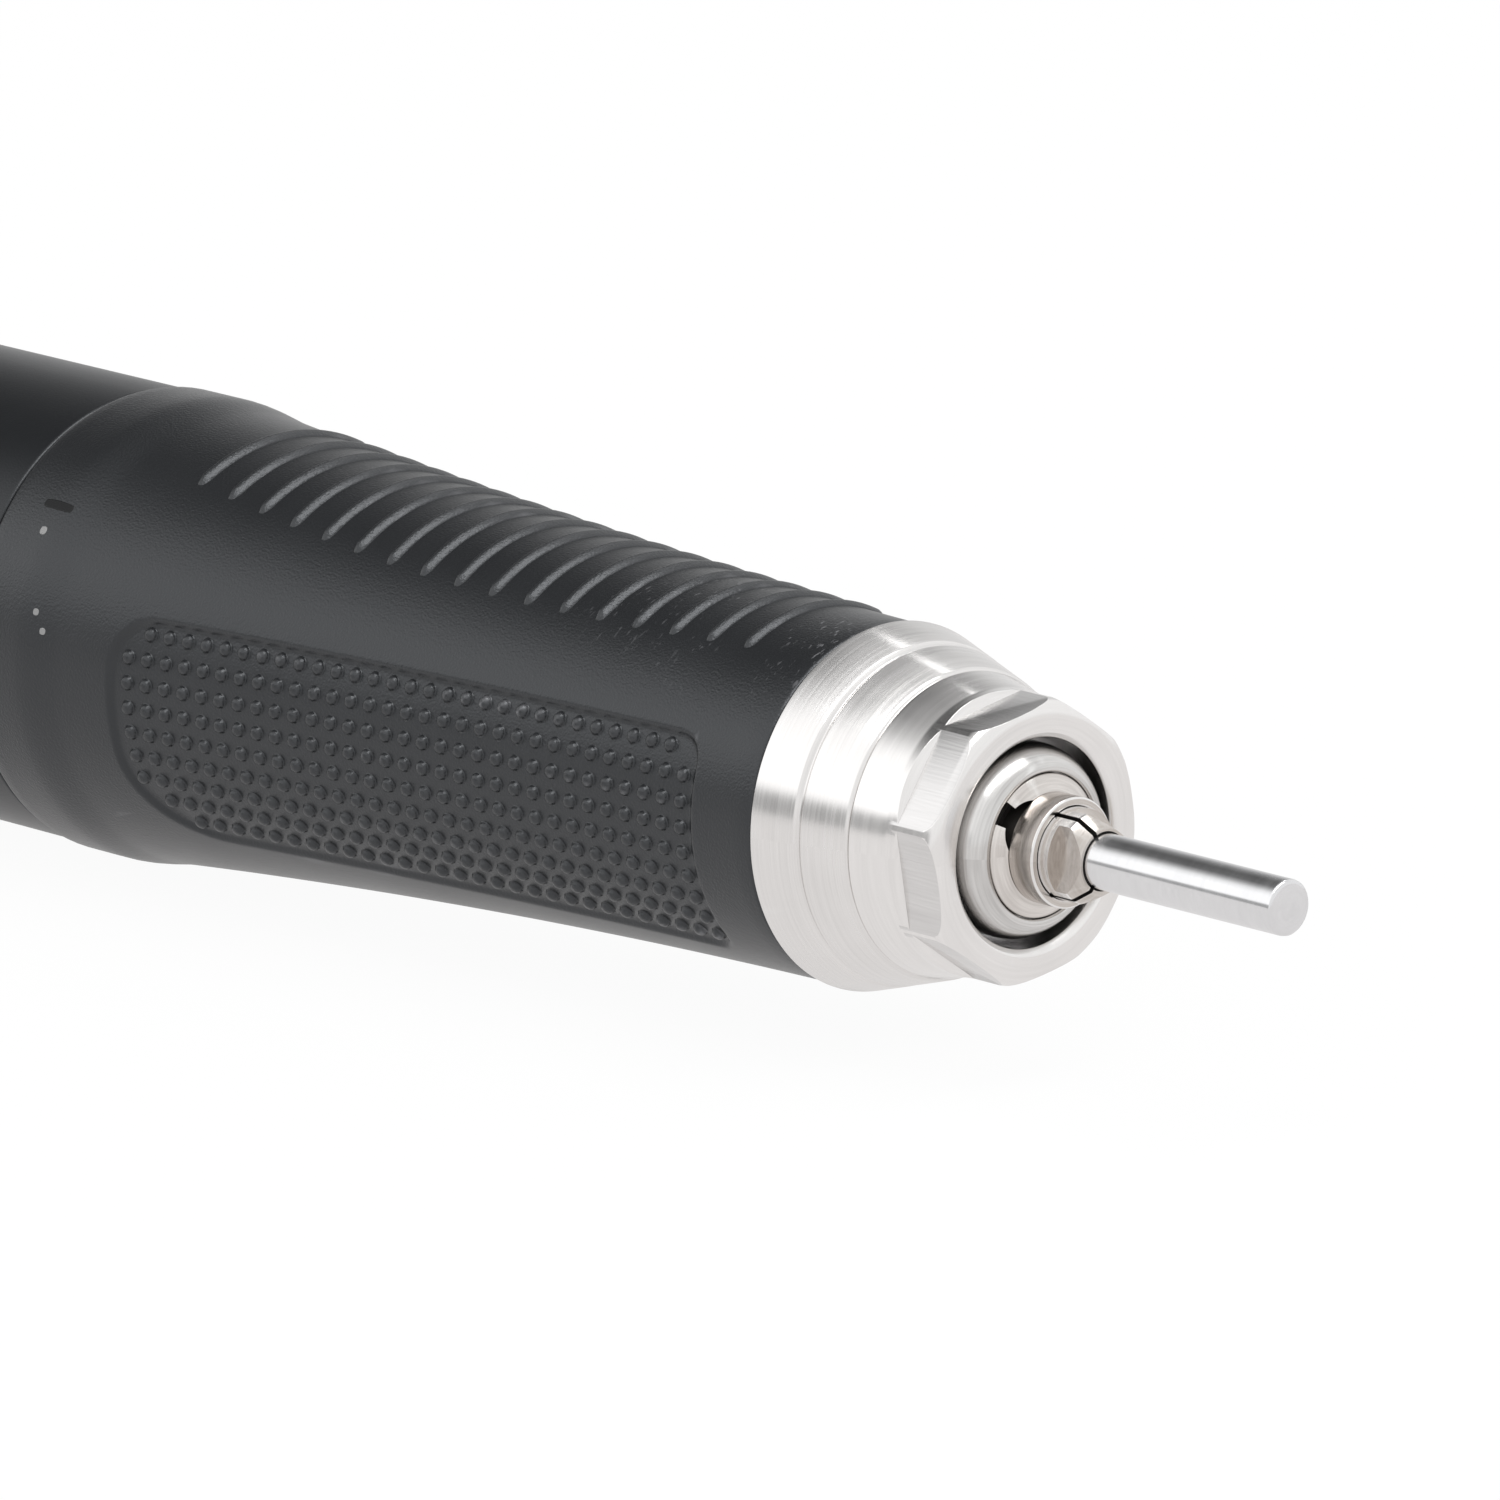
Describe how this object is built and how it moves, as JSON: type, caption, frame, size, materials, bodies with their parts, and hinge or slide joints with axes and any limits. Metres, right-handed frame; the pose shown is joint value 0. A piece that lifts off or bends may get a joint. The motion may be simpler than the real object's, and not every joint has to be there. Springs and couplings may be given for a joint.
{
  "type": "dental micromotor handpiece",
  "caption": "Pen-shaped electric handpiece with a ribbed twist grip that opens a split collet, a metal nose with a flatted nut, and a round tool shank held in the chuck.",
  "frame": {"origin": "centre of the rear face of the cord gland, on the axis of the handpiece", "axes": "+X along the axis toward the tool, +Z through the middle of the ribbed side of the grip, +Y to the left seen from the cord end looking toward the tool"},
  "size_m": [0.1406, 0.0204, 0.0204],
  "materials": {
    "grip_polymer": "black, fine matte grain",
    "case_coating": "black matte coat on aluminium",
    "cap_polymer": "black, matte",
    "satin_steel": "satin, turned, with fine circumferential marks",
    "chuck_steel": "satin, warm grey, hardened",
    "spring_steel": "ground, oiled",
    "bearing_steel": "polished",
    "tool_steel": "polished bright",
    "soft_iron": "laminated, blued",
    "magnet": "ground, dark grey",
    "winding_copper": "enamelled copper",
    "contact_brass": "bare brass",
    "carbon": "pressed carbon, matt",
    "insulator": "moulded, brown",
    "housing_alloy": "turned, bare",
    "seal_rubber": "matt black"
  },
  "bodies": {
    "frame": {"rear_cap": "cap_polymer", "cord_gland": "cap_polymer", "motor_case": "case_coating", "grip_friction_ring": "seal_rubber", "terminal_plate": "insulator", "terminals": "contact_brass", "brush_carrier": "insulator", "brush_tubes": "contact_brass", "carbon_brushes": "carbon", "brush_caps": "contact_brass", "brush_springs": "spring_steel", "flux_yoke": "soft_iron", "field_magnets": "magnet", "motor_front_plate": "housing_alloy", "spindle_housing": "housing_alloy", "nose_seal": "seal_rubber", "bearing_retainer": "housing_alloy", "preload_washer": "spring_steel", "bearing_circlip": "spring_steel", "nose_cone": "satin_steel", "front_nut": "satin_steel", "front_bearing_outer_race": "bearing_steel", "second_bearing_outer_race": "bearing_steel", "rear_bearing_outer_race": "bearing_steel", "motor_front_bearing_outer_race": "bearing_steel", "motor_rear_bearing_outer_race": "bearing_steel"},
    "rotor": {"rotor_shaft": "bearing_steel", "rotor_core": "soft_iron", "commutator": "winding_copper", "windings": "winding_copper", "rotor_dog": "contact_brass", "coupling_spider": "seal_rubber", "motor_front_bearing_inner_race": "bearing_steel", "motor_rear_bearing_inner_race": "bearing_steel"},
    "spindle": {"spindle_shaft": "chuck_steel", "spindle_dog": "contact_brass", "inner_spacer": "bearing_steel", "front_spacer": "bearing_steel", "spindle_nose": "satin_steel", "snap_ring": "chuck_steel", "disc_springs": "spring_steel", "front_bearing_inner_race": "bearing_steel", "second_bearing_inner_race": "bearing_steel", "rear_bearing_inner_race": "bearing_steel"},
    "spindle_ball_sets": {"front_bearing_balls": "bearing_steel", "second_bearing_balls": "bearing_steel", "rear_bearing_balls": "bearing_steel"},
    "motor_ball_sets": {"motor_front_bearing_balls": "bearing_steel", "motor_rear_bearing_balls": "bearing_steel"},
    "grip": {"grip_sleeve": "grip_polymer", "cam_sleeve": "chuck_steel"},
    "opener": {"push_ring": "contact_brass", "cam_pins": "bearing_steel"},
    "chuck": {"collet": "chuck_steel", "drawbar": "chuck_steel", "draw_collar": "spring_steel", "draw_pin": "bearing_steel"},
    "tool": {"tool_shank": "tool_steel"}
  },
  "joints": [
    {"name": "rotor_spin", "type": "hinge", "parent": "frame", "child": "rotor", "pos_m": [0, 0, 0], "axis": [1, 0, 0], "continuous": true},
    {"name": "spindle_spin", "type": "hinge", "parent": "frame", "child": "spindle", "pos_m": [0, 0, 0], "axis": [1, 0, 0], "continuous": true},
    {"name": "spindle_balls_orbit", "type": "hinge", "parent": "frame", "child": "spindle_ball_sets", "pos_m": [0, 0, 0], "axis": [1, 0, 0], "continuous": true},
    {"name": "motor_balls_orbit", "type": "hinge", "parent": "frame", "child": "motor_ball_sets", "pos_m": [0, 0, 0], "axis": [1, 0, 0], "continuous": true},
    {"name": "grip_twist", "type": "hinge", "parent": "frame", "child": "grip", "pos_m": [0, 0, 0], "axis": [1, 0, 0], "range_deg": [0, 50]},
    {"name": "opener_slide", "type": "slide", "parent": "frame", "child": "opener", "axis": [1, 0, 0], "range_m": [0, 0.0011]},
    {"name": "drawbar_slide", "type": "slide", "parent": "spindle", "child": "chuck", "axis": [1, 0, 0], "range_m": [0, 0.00075], "deforming": ["disc_springs"]},
    {"name": "tool_slide", "type": "slide", "parent": "chuck", "child": "tool", "axis": [1, 0, 0], "range_m": [0, 0.026]}
  ],
  "couplings": [
    {"joint": "spindle_spin", "follows": "rotor_spin", "ratio": 1},
    {"joint": "spindle_balls_orbit", "follows": "rotor_spin", "ratio": 0.3941},
    {"joint": "motor_balls_orbit", "follows": "rotor_spin", "ratio": 0.4142},
    {"joint": "opener_slide", "follows": "grip_twist", "m_per_rad": 0.0012605},
    {"joint": "drawbar_slide", "follows": "grip_twist", "m_per_rad": 0.0008594}
  ]
}
